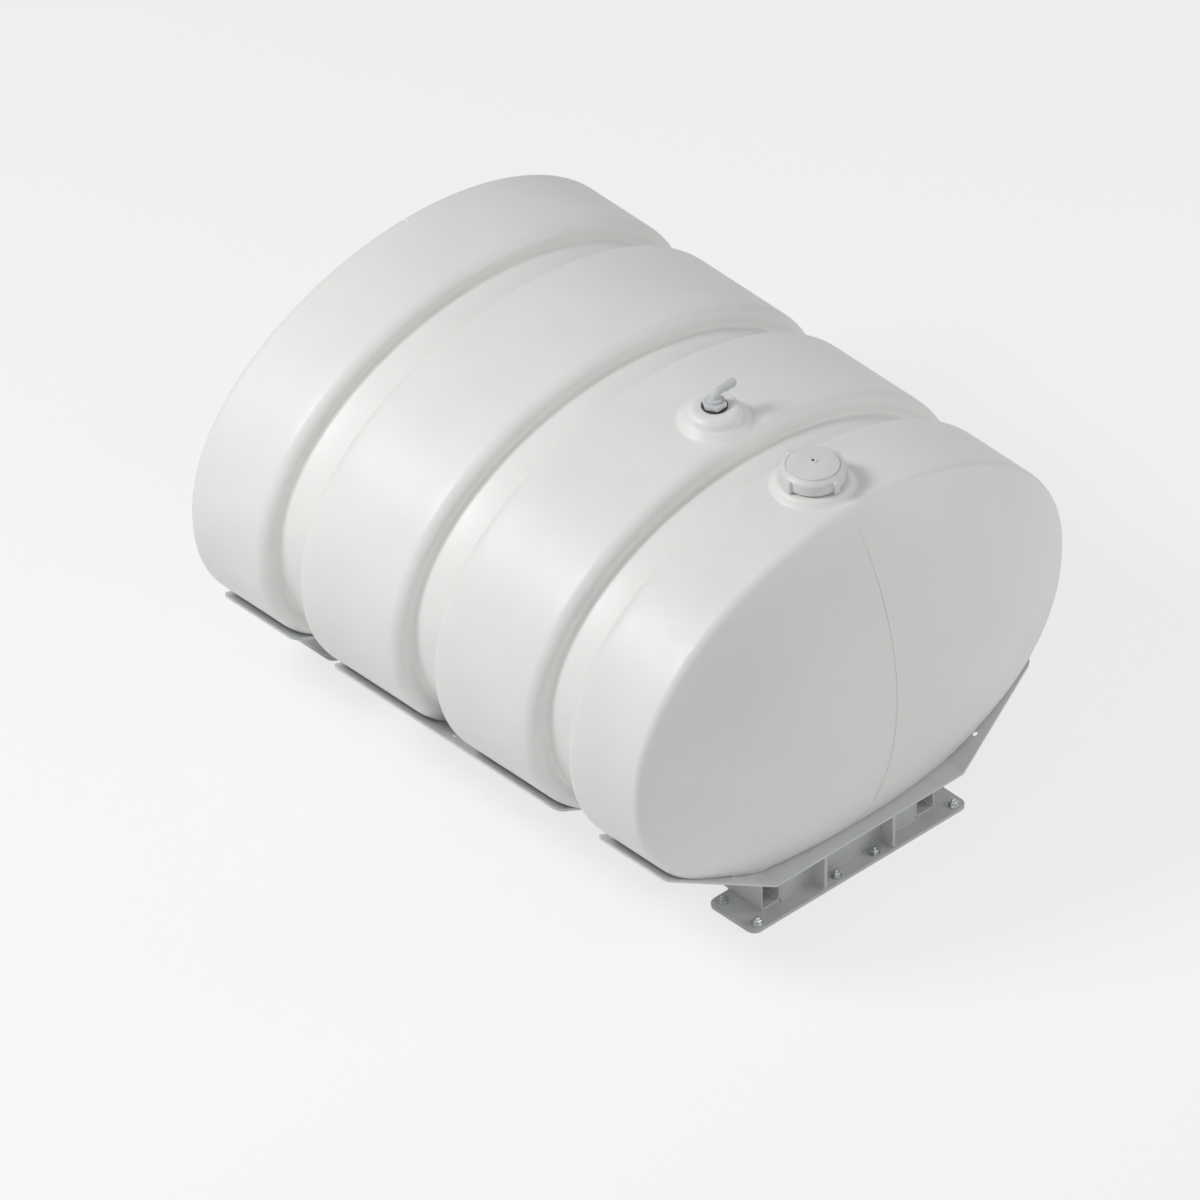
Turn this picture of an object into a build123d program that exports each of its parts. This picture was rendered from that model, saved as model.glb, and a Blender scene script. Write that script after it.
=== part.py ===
"""Horizontal elliptical storage tank with strap grooves, on a folded steel cradle.

Millimetres, +Z up. The origin is on the floor, under the middle of the tank.
X runs across the tank and Y along it, with the filler end towards -Y.
"""

import math
import os

from build123d import *

# Tank shell
tank_half_width = 610.0
tank_half_height = 425.0
tank_wall = 8.0
belly_flat_depth = 37.0
groove_spacing = 396.0
end_band_length = 249.0
groove_floor_width = 90.0
groove_depth = 44.0
groove_shoulder_radius = 30.0
groove_foot_radius = 10.0
end_sag = 154.0
end_skirt = 14.0
knuckle_radius = 24.0

# Filler boss, neck and cap
filler_boss_margin = 2.0
filler_boss_flare = 3.0
filler_boss_ledge = 5.0
filler_boss_height = 12.0
neck_bore_radius = 50.0
neck_wall = 8.0
neck_height = 28.0
gasket_thickness = 3.0
cap_clearance = 4.0
cap_skirt_wall = 6.0
cap_skirt_lift = 2.0
cap_bevel_height = 7.0
cap_ring_width = 13.0
cap_disc_step = 2.0
cap_disc_sag = 7.0
cap_lug_count = 4
cap_lug_width = 14.0
cap_lug_reach = 6.0
cap_lug_edge = 2.5
breather_radius = 9.0
breather_bore_radius = 3.0
breather_height = 3.0
breather_seat_depth = 1.0

# Vent boss and fitting
vent_boss_margin = 1.0
vent_boss_flare = 4.0
vent_boss_shoulder_width = 18.0
vent_boss_shoulder_height = 14.0
vent_boss_top_radius = 40.0
vent_boss_height = 35.0
stem_radius = 12.0
stem_clearance = 0.3
stem_below_boss = 20.0
vent_bore_radius = 6.0
washer_radius = 28.0
washer_thickness = 3.0
nut_across_flats = 46.0
nut_height = 10.0
nut_edge = 1.5
collar_radius = 15.0
collar_height = 7.0
tail_radius = 9.0
tail_rise = 14.0
tail_bend_radius = 13.0
tail_reach = 55.0
barb_count = 3
barb_rise = 1.6
barb_pitch = 9.0

# Folded saddles
saddle_thickness = 5.0
saddle_gap = 0.5
wing_angle = 25.0
wing_tip_reach = 522.0
saddle_bend_radius = 12.0
middle_saddle_setback = 61.0
end_saddle_setback = 51.0
end_saddle_overhang = 73.0
end_saddle_tip_overhang = 10.0
saddle_corner_radius = 18.0
wing_hole_radius = 6.0
wing_hole_edge = 30.0
end_wing_hole_up = 84.0
end_wing_hole_setback = 45.0

# Rails, cross members, gussets and base plates
rail_centre = 220.0
rail_width = 55.0
rail_height = 113.0
rail_wall = 5.0
rail_bend_radius = 10.0
pedestal_setback = 23.0
cross_width = 60.0
cross_wall = 5.0
gusset_centre = 97.0
gusset_thickness = 8.0
gusset_edge_gap = 4.0
base_overhang = 58.5
base_depth = 140.0
base_thickness = 8.0
base_corner_radius = 20.0
anchor_hole_radius = 7.0
anchor_row_edge = 19.0
outer_anchor_edge = 26.0
inner_anchor_spacing = 108.0

# Length that a cut runs past what it cuts
overrun = 40.0

# Widths and radii that follow from what they fit
cap_skirt_radius = neck_bore_radius + neck_wall + cap_clearance + cap_skirt_wall
cap_disc_radius = cap_skirt_radius - cap_ring_width
filler_boss_top_radius = cap_skirt_radius + filler_boss_ledge
filler_boss_foot_radius = filler_boss_top_radius + filler_boss_flare
vent_boss_shoulder_radius = vent_boss_top_radius + vent_boss_shoulder_width
vent_boss_foot_radius = vent_boss_shoulder_radius + vent_boss_flare
base_length = 2 * (rail_centre + rail_width / 2 + base_overhang)
outer_anchor_spacing = base_length - 2 * outer_anchor_edge
anchor_row_spacing = base_depth - 2 * anchor_row_edge

# Places along the tank, where both bosses stand clear of the first groove's shoulders
barrel_length = 2 * (groove_spacing + end_band_length)
groove_reach = groove_floor_width / 2 + groove_shoulder_radius
filler_y = -(groove_spacing + groove_reach + filler_boss_margin + filler_boss_foot_radius)
vent_y = -(groove_spacing - groove_reach - vent_boss_margin - vent_boss_foot_radius)
middle_saddle_length = 2 * (groove_spacing - middle_saddle_setback)
end_saddle_inner_edge = groove_spacing + end_saddle_setback
end_saddle_outer_edge = barrel_length / 2 + end_saddle_overhang
end_saddle_tip_edge = barrel_length / 2 + end_saddle_tip_overhang

# Levels
belly_drop = tank_half_height - belly_flat_depth
tray_level = base_thickness + rail_height + saddle_thickness
tank_centre = tray_level + belly_drop
crown_level = tank_centre + tank_half_height
filler_top = crown_level + filler_boss_height
vent_top = crown_level + vent_boss_height
pedestal_y = barrel_length / 2 - pedestal_setback
cap_seat = filler_top + neck_height + gasket_thickness
cap_dome_foot = cap_seat + cap_bevel_height + cap_disc_step
breather_seat = cap_dome_foot + cap_disc_sag - breather_seat_depth
nut_seat = vent_top + washer_thickness
collar_seat = nut_seat + nut_height
tail_level = collar_seat + collar_height + tail_rise
rail_top = base_thickness + rail_height
pedestal_reach = pedestal_y + cross_width / 2

# A wing lies against the ellipse, so the bend follows from the wing's angle
wing_slope = math.radians(wing_angle)
wing_distance = saddle_gap + math.hypot(
    tank_half_width * math.sin(wing_slope), tank_half_height * math.cos(wing_slope)
)
bend_reach = (wing_distance - belly_drop * math.cos(wing_slope)) / math.sin(wing_slope)
wing_tip_level = tray_level + (wing_tip_reach - bend_reach) * math.tan(wing_slope)

groove_places = [-groove_spacing, 0, groove_spacing]

os.makedirs("parts", exist_ok=True)


def write(piece, name):
    """Label a finished piece and write it to its own file."""
    piece.label = name
    export_step(piece, f"parts/{name}.step")


def across(y):
    """The upright plane across the tank at y, with its origin on the tank's axis."""
    return Plane(origin=(0, y, tank_centre), x_dir=(1, 0, 0), z_dir=(0, -1, 0))


def disc(inset, start, end):
    """An elliptical slice of the tank from start to end, stepped in by inset."""
    with BuildSketch(across(end)) as section:
        Ellipse(tank_half_width - inset, tank_half_height - inset)
    extrude(section.sketch, amount=end - start)


def band_mass(inset, start, end, opening):
    """A band of the barrel between two edges, stepped in by inset.

    An edge at the middle of a strap groove gets half of the groove. The opening lengthens
    both ends, so that an inner mass cuts right through.
    """
    half_floor = groove_floor_width / 2 + inset
    groove_edges = [edge for edge in (start, end) if abs(edge) < barrel_length / 2]
    crown_start = start + half_floor if start in groove_edges else start - opening
    crown_end = end - half_floor if end in groove_edges else end + opening
    with BuildPart() as mass:
        disc(inset, crown_start, crown_end)
        if groove_edges:
            disc(inset + groove_depth, start - opening, end + opening)
        for groove_edge in groove_edges:
            wall = crown_start if groove_edge == start else crown_end
            rims = mass.edges().filter_by_position(Axis.Y, wall, wall).sort_by(SortBy.LENGTH)
            fillet(rims[-1], groove_shoulder_radius - inset)
            rims = mass.edges().filter_by_position(Axis.Y, wall, wall).sort_by(SortBy.LENGTH)
            fillet(rims[0], groove_foot_radius + inset)
    return mass.part


def boss(y, inset, outline):
    """A round boss on the crown at y, turned from its outline of radii and heights."""
    points = [(radius - inset, crown_level + height - inset) for radius, height in outline]
    with BuildPart() as turned:
        with BuildSketch(Plane.XZ.offset(-y)):
            with BuildLine():
                Polyline(
                    (0, crown_level - groove_depth),
                    (points[0][0], crown_level - groove_depth),
                    *points,
                    (0, points[-1][1]),
                    close=True,
                )
            make_face()
        revolve(axis=Axis((0, y, 0), (0, 0, 1)))
    return turned.part


def end_mass(inset):
    """A dished end's outside, stepped in by inset, standing on the plane Y = 0."""
    radius = tank_half_height - inset
    with BuildPart() as dish:
        with BuildSketch(Plane.XY) as profile:
            with BuildLine():
                ThreePointArc((-radius, end_skirt), (0, end_sag - inset), (radius, end_skirt))
                Polyline((radius, end_skirt), (radius, 0), (-radius, 0), (-radius, end_skirt))
            make_face()
            rims = profile.vertices().filter_by_position(Axis.Y, end_skirt, end_skirt)
            rim_turn = math.pi / 2 - 2 * math.atan((end_sag - inset - end_skirt) / radius)
            fillet(rims, min(knuckle_radius - inset, end_skirt / math.tan(rim_turn / 2)))
            split(bisect_by=Plane.YZ, keep=Keep.TOP)
        revolve(axis=Axis.Y)
        scale(by=((tank_half_width - inset) / radius, 1, 1))
    return dish.part


def ring(y, level, outer, inner, height):
    """A plain upright ring on the crown line at y."""
    with BuildSketch(Plane.XY.offset(level)) as section:
        with Locations((0, y)):
            Circle(outer)
            Circle(inner, mode=Mode.SUBTRACT)
    extrude(section.sketch, amount=height)


filler_outline = [(filler_boss_foot_radius, 0), (filler_boss_top_radius, filler_boss_height)]
vent_outline = [
    (vent_boss_foot_radius, 0),
    (vent_boss_shoulder_radius, vent_boss_shoulder_height),
    (vent_boss_top_radius, vent_boss_height),
]
bosses = {
    "barrel_front": (filler_y, filler_outline, neck_bore_radius),
    "barrel_front_middle": (vent_y, vent_outline, stem_radius + stem_clearance),
}

# Barrel in four bands that meet at the middle of each strap groove
band_names = ["barrel_front", "barrel_front_middle", "barrel_rear_middle", "barrel_rear"]
band_edges = [-barrel_length / 2] + groove_places + [barrel_length / 2]
for band_name, start, end in zip(band_names, band_edges, band_edges[1:]):
    with BuildPart() as hollow:
        add(band_mass(tank_wall, start, end, overrun))
        if band_name in bosses:
            place, outline, bore = bosses[band_name]
            add(boss(place, tank_wall, outline))
        split(bisect_by=Plane.XY.offset(tray_level + tank_wall), keep=Keep.TOP)
    with BuildPart() as band:
        add(band_mass(0, start, end, 0))
        if band_name in bosses:
            add(boss(place, 0, outline))
        split(bisect_by=Plane.XY.offset(tray_level), keep=Keep.TOP)
        add(hollow.part, mode=Mode.SUBTRACT)
        if band_name in bosses:
            with Locations((0, place, crown_level + outline[-1][1] + overrun)):
                Hole(bore, depth=2 * overrun + outline[-1][1] + tank_wall)
    write(band.part, band_name)

# Dished ends, turned as round dishes and widened to the ellipse
for end_name, facing in (("front_end", -1), ("rear_end", 1)):
    end_plane = Plane(
        origin=(0, facing * barrel_length / 2, tank_centre), x_dir=(facing, 0, 0), z_dir=(0, 0, 1)
    )
    with BuildPart() as end_hollow:
        add(end_plane * end_mass(tank_wall))
        split(bisect_by=Plane.XY.offset(tray_level + tank_wall), keep=Keep.TOP)
    with BuildPart() as dished_end:
        add(end_plane * end_mass(0))
        split(bisect_by=Plane.XY.offset(tray_level), keep=Keep.TOP)
        add(end_hollow.part, mode=Mode.SUBTRACT)
    write(dished_end.part, end_name)

with BuildPart() as filler_neck:
    ring(filler_y, filler_top, neck_bore_radius + neck_wall, neck_bore_radius, neck_height)
write(filler_neck.part, "filler_neck")

with BuildPart() as filler_gasket:
    gasket_level = filler_top + neck_height
    ring(filler_y, gasket_level, neck_bore_radius + neck_wall, neck_bore_radius, gasket_thickness)
write(filler_gasket.part, "filler_gasket")

# Cap with a bevelled ring, a low domed disc and grip lugs round its skirt
with BuildPart() as filler_cap:
    skirt_foot = filler_top + cap_skirt_lift
    with BuildSketch(Plane.XZ.offset(-filler_y)):
        with BuildLine():
            dome = ThreePointArc(
                (-cap_disc_radius, cap_dome_foot),
                (0, cap_dome_foot + cap_disc_sag),
                (cap_disc_radius, cap_dome_foot),
            )
            Polyline(
                dome @ 1,
                (cap_disc_radius, cap_dome_foot - cap_disc_step),
                (cap_skirt_radius, cap_seat),
                (cap_skirt_radius, skirt_foot),
                (-cap_skirt_radius, skirt_foot),
                (-cap_skirt_radius, cap_seat),
                (-cap_disc_radius, cap_dome_foot - cap_disc_step),
                dome @ 0,
            )
        make_face()
        split(bisect_by=Plane.YZ, keep=Keep.TOP)
    revolve(axis=Axis((0, filler_y, 0), (0, 0, 1)))
    with BuildSketch(Plane.XY.offset(skirt_foot)) as lugs:
        with Locations((0, filler_y)):
            with PolarLocations(cap_skirt_radius, cap_lug_count):
                Rectangle(2 * cap_lug_reach, cap_lug_width)
        fillet(lugs.vertices(), cap_lug_edge)
    extrude(amount=cap_seat - skirt_foot)
    with BuildSketch(Plane.XY.offset(skirt_foot)):
        with Locations((0, filler_y)):
            Circle(cap_skirt_radius - cap_skirt_wall)
    extrude(amount=cap_seat - skirt_foot, mode=Mode.SUBTRACT)
    with Locations((0, filler_y, breather_seat + breather_seat_depth)):
        CounterBoreHole(breather_bore_radius, breather_radius, breather_seat_depth)
write(filler_cap.part, "filler_cap")

with BuildPart() as cap_breather:
    ring(filler_y, breather_seat, breather_radius, breather_bore_radius, breather_height)
write(cap_breather.part, "cap_breather")

with BuildPart() as vent_washer:
    ring(vent_y, vent_top, washer_radius, stem_radius + stem_clearance, washer_thickness)
write(vent_washer.part, "vent_washer")

with BuildPart() as vent_nut:
    with BuildSketch(Plane.XY.offset(nut_seat)):
        with Locations((0, vent_y)):
            RegularPolygon(nut_across_flats / 2, 6, major_radius=False)
            Circle(stem_radius + stem_clearance, mode=Mode.SUBTRACT)
    extrude(amount=nut_height)
    corners = vent_nut.faces().sort_by(Axis.Z)[-1].outer_wire().edges()
    chamfer(corners, nut_edge)
write(vent_nut.part, "vent_nut")

# Vent elbow: a stem through the boss, a collar on the nut and a barbed hose tail
with BuildPart() as vent_elbow:
    stem_foot = vent_top - stem_below_boss
    with BuildSketch(Plane.XY.offset(stem_foot)):
        with Locations((0, vent_y)):
            Circle(stem_radius)
    extrude(amount=collar_seat - stem_foot)
    with BuildSketch(Plane.XY.offset(collar_seat)):
        with Locations((0, vent_y)):
            Circle(collar_radius)
    extrude(amount=collar_height)
    with BuildLine(Plane.XZ.offset(-vent_y)) as tail_path:
        FilletPolyline(
            (0, collar_seat), (0, tail_level), (tail_reach, tail_level), radius=tail_bend_radius
        )
    with BuildSketch(Plane.XY.offset(collar_seat)):
        with Locations((0, vent_y)):
            Circle(tail_radius)
    sweep(path=tail_path.wires()[0])
    for barb in range(barb_count):
        barb_middle = tail_reach - (barb + 1 / 2) * barb_pitch
        with Locations(Location((barb_middle, vent_y, tail_level), (0, 90, 0))):
            Cone(tail_radius + barb_rise, tail_radius, barb_pitch)
    with BuildLine(Plane.XZ.offset(-vent_y)) as bore_path:
        FilletPolyline(
            (0, stem_foot), (0, tail_level), (tail_reach, tail_level), radius=tail_bend_radius
        )
    with BuildSketch(Plane.XY.offset(stem_foot)):
        with Locations((0, vent_y)):
            Circle(vent_bore_radius)
    sweep(path=bore_path.wires()[0], mode=Mode.SUBTRACT)
write(vent_elbow.part, "vent_elbow")


def folded_saddle(start, end):
    """Sheet folded into a flat tray with two rising wings, from start to end along the tank."""
    with BuildSketch(Plane.XZ.offset(-end)) as section:
        with BuildLine():
            FilletPolyline(
                (-wing_tip_reach, wing_tip_level),
                (-bend_reach, tray_level),
                (bend_reach, tray_level),
                (wing_tip_reach, wing_tip_level),
                radius=saddle_bend_radius,
            )
            offset(amount=saddle_thickness, side=Side.RIGHT)
        make_face()
    extrude(section.sketch, amount=end - start)


def trim_saddle(outline):
    """Trim a saddle to its plan outline, with the corners rounded."""
    with BuildSketch() as plan:
        with BuildLine():
            Polyline(*outline, close=True)
        make_face()
        fillet(plan.vertices(), saddle_corner_radius)
    extrude(plan.sketch, amount=tank_centre, mode=Mode.INTERSECT)


def drill_wings(up, y):
    """Drill both wings, at a distance up the slope from the bend."""
    for side in (-1, 1):
        wing = Plane(
            origin=(side * bend_reach, 0, tray_level),
            x_dir=(side * math.cos(wing_slope), 0, math.sin(wing_slope)),
            z_dir=(-side * math.sin(wing_slope), 0, math.cos(wing_slope)),
        )
        with BuildSketch(wing) as hole:
            with Locations((up, side * y)):
                Circle(wing_hole_radius)
        extrude(hole.sketch, amount=overrun, both=True, mode=Mode.SUBTRACT)


wing_length = (wing_tip_reach - bend_reach) / math.cos(wing_slope)

with BuildPart() as middle_saddle:
    folded_saddle(-middle_saddle_length / 2, middle_saddle_length / 2)
    trim_saddle(
        [
            (-wing_tip_reach, -middle_saddle_length / 2),
            (wing_tip_reach, -middle_saddle_length / 2),
            (wing_tip_reach, middle_saddle_length / 2),
            (-wing_tip_reach, middle_saddle_length / 2),
        ]
    )
    drill_wings(wing_length - wing_hole_edge, 0)
write(middle_saddle.part, "middle_saddle")

for saddle_name, facing in (("front_saddle", -1), ("rear_saddle", 1)):
    with BuildPart() as end_saddle:
        edges = sorted([facing * end_saddle_inner_edge, facing * end_saddle_outer_edge])
        folded_saddle(*edges)
        trim_saddle(
            [
                (-wing_tip_reach, facing * end_saddle_inner_edge),
                (-wing_tip_reach, facing * end_saddle_tip_edge),
                (-bend_reach, facing * end_saddle_outer_edge),
                (bend_reach, facing * end_saddle_outer_edge),
                (wing_tip_reach, facing * end_saddle_tip_edge),
                (wing_tip_reach, facing * end_saddle_inner_edge),
            ]
        )
        drill_wings(end_wing_hole_up, facing * (end_saddle_outer_edge - end_wing_hole_setback))
    write(end_saddle.part, saddle_name)

for rail_name, side in (("left_rail", -1), ("right_rail", 1)):
    with BuildPart() as rail:
        near, far = side * rail_centre - rail_width / 2, side * rail_centre + rail_width / 2
        with BuildSketch(Plane.XZ.offset(-pedestal_reach)):
            with BuildLine():
                FilletPolyline(
                    (near, rail_top),
                    (near, base_thickness),
                    (far, base_thickness),
                    (far, rail_top),
                    radius=rail_bend_radius,
                )
                offset(amount=rail_wall, side=Side.LEFT)
            make_face()
        extrude(amount=2 * pedestal_reach)
    write(rail.part, rail_name)

# Each pedestal has a base plate, a cross member between the rails, and four gussets
gusset_depth = (base_depth - cross_width) / 2 - gusset_edge_gap
for pedestal, facing in (("front", -1), ("rear", 1)):
    middle = facing * pedestal_y
    with BuildPart() as base_plate:
        with BuildSketch() as plate:
            with Locations((0, middle)):
                RectangleRounded(base_length, base_depth, base_corner_radius)
            with Locations((0, middle)):
                with GridLocations(outer_anchor_spacing, anchor_row_spacing, 2, 2):
                    Circle(anchor_hole_radius, mode=Mode.SUBTRACT)
                with GridLocations(inner_anchor_spacing, anchor_row_spacing, 2, 2):
                    Circle(anchor_hole_radius, mode=Mode.SUBTRACT)
        extrude(amount=base_thickness)
    write(base_plate.part, f"{pedestal}_base_plate")

    with BuildPart() as cross_member:
        with BuildSketch(Plane.YZ):
            with Locations((middle, (base_thickness + rail_top) / 2)):
                Rectangle(cross_width, rail_height)
                Rectangle(
                    cross_width - 2 * cross_wall, rail_height - 2 * cross_wall, mode=Mode.SUBTRACT
                )
        extrude(amount=rail_centre - rail_width / 2, both=True)
    write(cross_member.part, f"{pedestal}_cross_member")

    with BuildPart() as gussets:
        with BuildSketch(Plane.XY.offset(base_thickness)):
            with Locations((0, middle)):
                with GridLocations(2 * gusset_centre, cross_width + gusset_depth, 2, 2):
                    Rectangle(gusset_thickness, gusset_depth)
        extrude(amount=rail_height)
    write(gussets.part, f"{pedestal}_gussets")
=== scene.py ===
"""Looks for a horizontal elliptical tank on a folded steel cradle.

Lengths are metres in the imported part's own frame: X across the tank, Y along it with the
filler end towards -Y, Z up from the floor.
"""

from __future__ import annotations

import logging
import math
from collections.abc import Callable, Iterable, Sequence
from dataclasses import dataclass
from enum import Enum
from functools import cache

import bmesh
import bpy
from bmesh.types import BMesh, BMVert
from bpy.types import ID, Material, Mesh, Node, NodeSocket, NodeTree, Object
from mathutils import Matrix, Vector

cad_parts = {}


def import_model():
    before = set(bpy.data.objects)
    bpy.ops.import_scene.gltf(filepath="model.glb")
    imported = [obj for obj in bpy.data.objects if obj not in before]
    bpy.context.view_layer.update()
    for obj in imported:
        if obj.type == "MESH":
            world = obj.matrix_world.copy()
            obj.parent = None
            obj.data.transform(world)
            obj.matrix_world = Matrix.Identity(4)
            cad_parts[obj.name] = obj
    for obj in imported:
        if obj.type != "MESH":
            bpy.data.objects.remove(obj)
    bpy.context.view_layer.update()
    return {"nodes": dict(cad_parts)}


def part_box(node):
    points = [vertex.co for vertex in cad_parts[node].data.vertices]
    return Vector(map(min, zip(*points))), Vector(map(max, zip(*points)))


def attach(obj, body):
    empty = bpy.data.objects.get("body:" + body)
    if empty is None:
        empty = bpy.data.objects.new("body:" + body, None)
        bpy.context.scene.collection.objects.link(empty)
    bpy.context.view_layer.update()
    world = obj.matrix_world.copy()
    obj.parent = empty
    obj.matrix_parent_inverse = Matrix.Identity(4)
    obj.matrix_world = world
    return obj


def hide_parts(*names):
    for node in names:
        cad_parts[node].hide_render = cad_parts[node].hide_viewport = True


LOG = logging.getLogger("cradle_tank")
BODY = "root"
FULL_TURN = 2 * math.pi
SAME_POINT = 1e-6
CORNER_SHARE = 0.45
HEX_SIDES = 6
NUMBER, COLOUR, GEOMETRY = "NodeSocketFloat", "NodeSocketColor", "NodeSocketGeometry"
WHITE = (1.0, 1.0, 1.0, 1.0)

Point2 = tuple[float, float]
Point3 = tuple[float, float, float]
Colour = tuple[float, float, float]
Place = tuple[Vector, float]
Nodes = dict[str, Object]
Feed = dict[str | int, object]


class Slot(Enum):
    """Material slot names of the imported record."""

    TANK = "tank_skin"
    FILLER = "filler_plastic"
    VENT = "vent_plastic"
    FRAME = "frame_steel"


# Small helpers for outlines and meshes


def smooth_step(low: float, high: float, value: float) -> float:
    """Ease from 0 at low to 1 at high.

    Args:
        low: Where the step starts.
        high: Where the step ends.
        value: The place to read.

    Returns:
        The eased share.
    """
    share = min(1.0, max(0.0, (value - low) / (high - low)))
    return share * share * (3 - 2 * share)


def turns(count: int) -> list[float]:
    """Angles in even steps round a full turn."""
    return [FULL_TURN * index / count for index in range(count)]


def arc_points(
    centre: Point2, radius: float, start: float, end: float, steps: int
) -> list[Point2]:
    """Points along an arc, both ends included.

    Args:
        centre: Middle of the arc.
        radius: Radius of the arc.
        start: First angle in radians.
        end: Last angle in radians.
        steps: Number of stretches.

    Returns:
        The points in order.
    """
    angles = [start + (end - start) * step / steps for step in range(steps + 1)]
    return [(centre[0] + radius * math.cos(a), centre[1] + radius * math.sin(a)) for a in angles]


def rounded(outline: Sequence[Point2], radius: float, steps: int = 4) -> list[Point2]:
    """Round the inner corners of an open outline.

    Args:
        outline: Corner points.
        radius: Largest corner radius; short stretches get a smaller one.
        steps: Stretches in each rounded corner.

    Returns:
        The outline with round corners.
    """
    points = [Vector(p) for p in outline]
    result = [tuple(points[0])]
    for before, corner, after in zip(points, points[1:], points[2:]):
        inward, outward = before - corner, after - corner
        reach = min(radius, CORNER_SHARE * inward.length, CORNER_SHARE * outward.length)
        first = corner + inward.normalized() * reach
        last = corner + outward.normalized() * reach
        for step in range(steps + 1):
            t = step / steps
            result.append(tuple(first.lerp(corner, t).lerp(corner.lerp(last, t), t)))
    result.append(tuple(points[-1]))
    return result


def linked(name: str, data: ID) -> Object:
    """Make an object of its data and link it to the scene.

    Args:
        name: Name of the object.
        data: Its mesh, curve, light or camera.

    Returns:
        The new object.
    """
    made = bpy.data.objects.new(name, data)
    bpy.context.scene.collection.objects.link(made)
    return made


def paint(mesh: Mesh, finish: Finish) -> None:
    """Give a mesh one material in place of what it had."""
    mesh.materials.clear()
    mesh.materials.append(finish.material())


def new_piece(mesh: Mesh, finish: Finish) -> Object:
    """Link a mesh as a smooth-shaded object of the same name with one material.

    Args:
        mesh: The mesh, already in place.
        finish: Its finish.

    Returns:
        The new object.
    """
    paint(mesh, finish)
    mesh.polygons.foreach_set("use_smooth", [True] * len(mesh.polygons))
    return linked(mesh.name, mesh)


def mesh_from(name: str, shape: BMesh, sharp: float = 40.0) -> Mesh:
    """Close a bmesh into a mesh with outward faces and sharp edges by angle.

    Args:
        name: Name of the mesh.
        shape: The bmesh, which is freed.
        sharp: Edge angle in degrees above which shading is split.

    Returns:
        The finished mesh.
    """
    bmesh.ops.remove_doubles(shape, verts=shape.verts, dist=SAME_POINT)
    bmesh.ops.recalc_face_normals(shape, faces=shape.faces)
    for edge in shape.edges:
        edge.smooth = edge.calc_face_angle(0.0) < math.radians(sharp)
    mesh = bpy.data.meshes.new(name)
    shape.to_mesh(mesh)
    shape.free()
    return mesh


def skin_rings(shape: BMesh, rings: Sequence[Sequence[Vector]]) -> None:
    """Skin closed rings of points; a ring of one point is a pole.

    Args:
        shape: The bmesh to add to.
        rings: Rings in order, all of one length but for the poles.
    """
    made = [[shape.verts.new(point) for point in ring] for ring in rings]
    for lower, upper in zip(made, made[1:]):
        count = max(len(lower), len(upper))
        for index in range(count):
            after = (index + 1) % count
            corners = [lower[index % len(lower)], lower[after % len(lower)],
                       upper[after % len(upper)], upper[index % len(upper)]]
            shape.faces.new(list(dict.fromkeys(corners)))


def lathe(
    name: str, centre: Vector, *turned: tuple[Sequence[Point2], int], sharp: float = 40.0
) -> Mesh:
    """Turn outlines of radii and heights about an upright axis.

    Args:
        name: Name of the mesh.
        centre: Foot of the axis.
        turned: Outlines, in which a zero radius is a pole, with their faces round the axis.
        sharp: Edge angle in degrees above which shading is split.

    Returns:
        The turned mesh.
    """
    shape = bmesh.new()
    for outline, segments in turned:
        rings = []
        for radius, height in outline:
            angles = turns(segments if radius > 0 else 1)
            rings.append([
                centre + Vector((radius * math.cos(a), radius * math.sin(a), height)) for a in angles
            ])
        skin_rings(shape, rings)
    return mesh_from(name, shape, sharp)


# Node trees


class Graph:
    """A node tree under construction."""

    def __init__(self, tree: NodeTree) -> None:
        """Take up a tree, which may hold nodes already."""
        self.tree = tree

    def feed(self, node: Node, inputs: Feed) -> None:
        """Link sockets into a node's inputs, or set the inputs to constants.

        Args:
            node: The node to feed.
            inputs: Sockets or constants by the input's name or number.
        """
        for key, value in inputs.items():
            if isinstance(value, NodeSocket):
                self.tree.links.new(value, node.inputs[key])
            else:
                node.inputs[key].default_value = value

    def add(self, kind: str, inputs: Feed | None = None, **settings: object) -> Node:
        """Add a node, set its properties and feed its inputs.

        Args:
            kind: Type of the node.
            inputs: Sockets or constants by the input's name or number.
            settings: Properties of the node.

        Returns:
            The node.
        """
        node = self.tree.nodes.new(kind)
        for key, value in settings.items():
            setattr(node, key, value)
        self.feed(node, inputs or {})
        return node

    def math(self, operation: str, *values: object) -> NodeSocket:
        """The result of a math node on sockets or constants."""
        node = self.add("ShaderNodeMath", dict(enumerate(values)), operation=operation)
        return node.outputs[0]


class Group(Graph):
    """A node group with named inputs and outputs."""

    tree_type: str = "ShaderNodeTree"

    def __init__(self, name: str, inputs: dict[str, str], outputs: dict[str, str]) -> None:
        """Start a group.

        Args:
            name: Name of the group.
            inputs: Names and types of the sockets going in.
            outputs: Names and types of the sockets coming out.
        """
        super().__init__(bpy.data.node_groups.new(name, self.tree_type))
        face = self.tree.interface
        self.identifiers = {
            key: face.new_socket(name=key, in_out="INPUT", socket_type=kind).identifier
            for key, kind in inputs.items()
        }
        for key, kind in outputs.items():
            face.new_socket(name=key, in_out="OUTPUT", socket_type=kind)
        self.given = self.add("NodeGroupInput").outputs
        self.end = self.add("NodeGroupOutput")


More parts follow.
